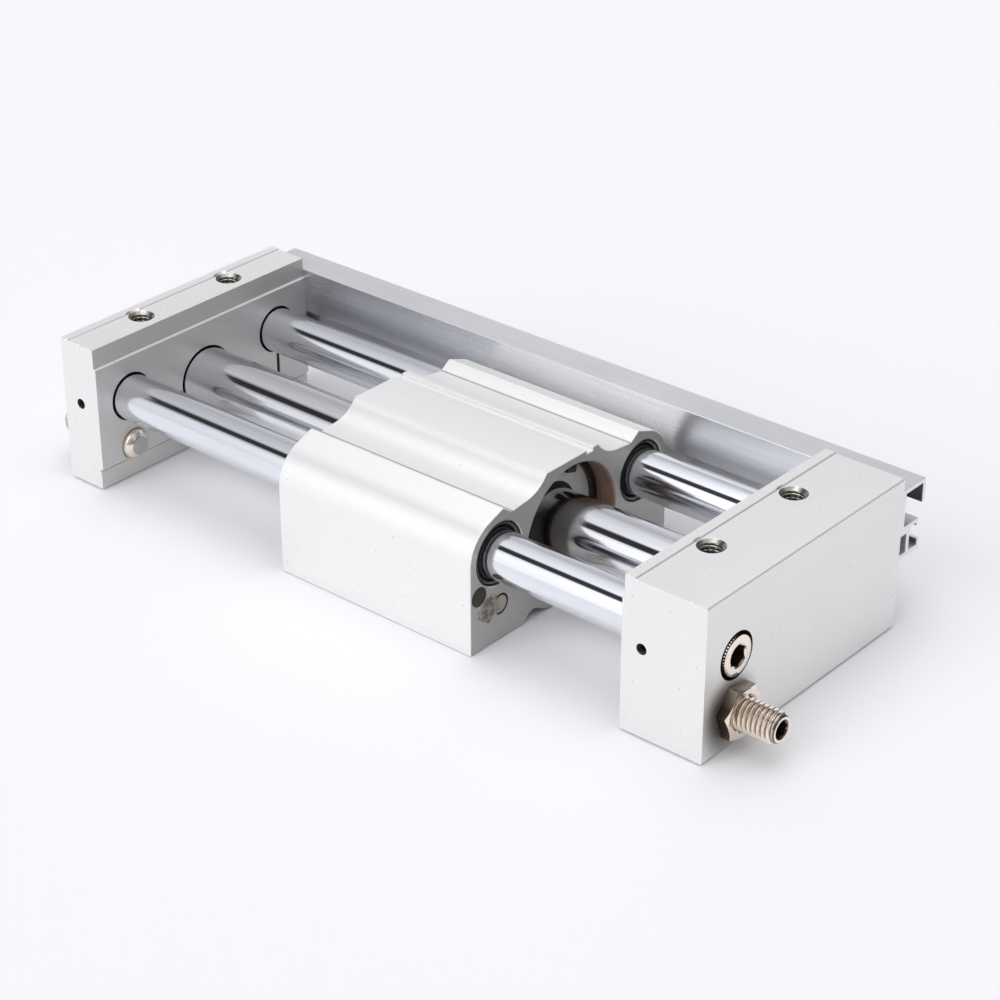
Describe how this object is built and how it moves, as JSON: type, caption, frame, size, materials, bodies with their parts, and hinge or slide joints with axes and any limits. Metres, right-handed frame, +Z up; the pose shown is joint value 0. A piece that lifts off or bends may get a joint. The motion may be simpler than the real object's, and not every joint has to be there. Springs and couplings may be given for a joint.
{
  "type": "rodless pneumatic cylinder",
  "caption": "Magnetically coupled rodless air cylinder: a guided slide block runs on paired shafts and a thin tube between end plates, with stop bolts and a switch rail.",
  "frame": {"origin": "middle of the slide block's load face, with the carriage at rest where the picture shows it", "axes": "+X along the stroke towards the thick plate, +Y towards the switch rail, +Z up as pictured, lying on the load face"},
  "size_m": [0.2261, 0.0843, 0.04],
  "materials": {
    "anodised": "clear anodised, bead blasted",
    "anodised_rail": "clear anodised, drawn",
    "stainless": "polished",
    "chromed": "hard chrome, ground",
    "nickel": "nickel plated",
    "bright_steel": "turned",
    "dark_steel": "blackened",
    "magnet": "sintered, plated",
    "bronze": "sintered bronze",
    "brass": "turned",
    "spacer": "turned",
    "rubber": "moulded",
    "bumper": "moulded",
    "wear_plastic": "moulded",
    "plug_resin": "cast resin"
  },
  "bodies": {
    "frame": {"far_plate": "anodised", "near_plate": "anodised", "switch_rail": "anodised_rail", "cylinder_tube": "stainless", "front_guide_shaft": "chromed", "rear_guide_shaft": "chromed", "tube_gaskets": "rubber", "shaft_gasket": "rubber", "shaft_end_screw": "nickel", "clamp_screw": "dark_steel", "shaft_set_screws": "dark_steel", "rail_screws": "nickel", "passage_plug": "brass"},
    "carriage": {"slide_block": "anodised", "shaft_bushings": "bronze", "shaft_wipers": "rubber", "wiper_cases": "bright_steel", "outer_yokes": "bright_steel", "outer_magnets": "magnet", "end_spacers": "spacer", "tube_wear_rings": "wear_plastic", "tube_wipers": "rubber", "block_circlips": "dark_steel", "switch_magnets": "magnet", "magnet_plugs": "plug_resin"},
    "piston": {"inner_yokes": "bright_steel", "inner_magnets": "magnet", "piston_rod": "bright_steel", "pistons": "spacer", "piston_seals": "rubber", "piston_wear_rings": "wear_plastic", "piston_nuts": "bright_steel", "piston_bumpers": "bumper"},
    "near_adjuster": {"near_adjusting_bolt": "nickel"},
    "far_adjuster": {"far_adjusting_bolt": "nickel"},
    "near_nut": {"near_lock_nut": "nickel"},
    "far_nut": {"far_lock_nut": "nickel"}
  },
  "joints": [
    {"name": "carriage_slide", "type": "slide", "parent": "frame", "child": "carriage", "axis": [1, 0, 0], "range_m": [-0.06065, 0.03925]},
    {"name": "piston_slide", "type": "slide", "parent": "frame", "child": "piston", "axis": [1, 0, 0], "range_m": [-0.06065, 0.03925]},
    {"name": "near_stop_adjust", "type": "slide", "parent": "frame", "child": "near_adjuster", "axis": [1, 0, 0], "range_m": [-0.005, 0.0048]},
    {"name": "far_stop_adjust", "type": "slide", "parent": "frame", "child": "far_adjuster", "axis": [1, 0, 0], "range_m": [-0.002, 0.005]},
    {"name": "near_nut_turn", "type": "hinge", "parent": "frame", "child": "near_nut", "pos_m": [0.0969, -0.0262, 0.0094], "axis": [1, 0, 0], "range_deg": [0, 90]},
    {"name": "far_nut_turn", "type": "hinge", "parent": "frame", "child": "far_nut", "pos_m": [-0.1053, -0.0262, 0.0094], "axis": [-1, 0, 0], "range_deg": [0, 90]}
  ],
  "couplings": [
    {"joint": "piston_slide", "follows": "carriage_slide", "ratio": 1}
  ]
}
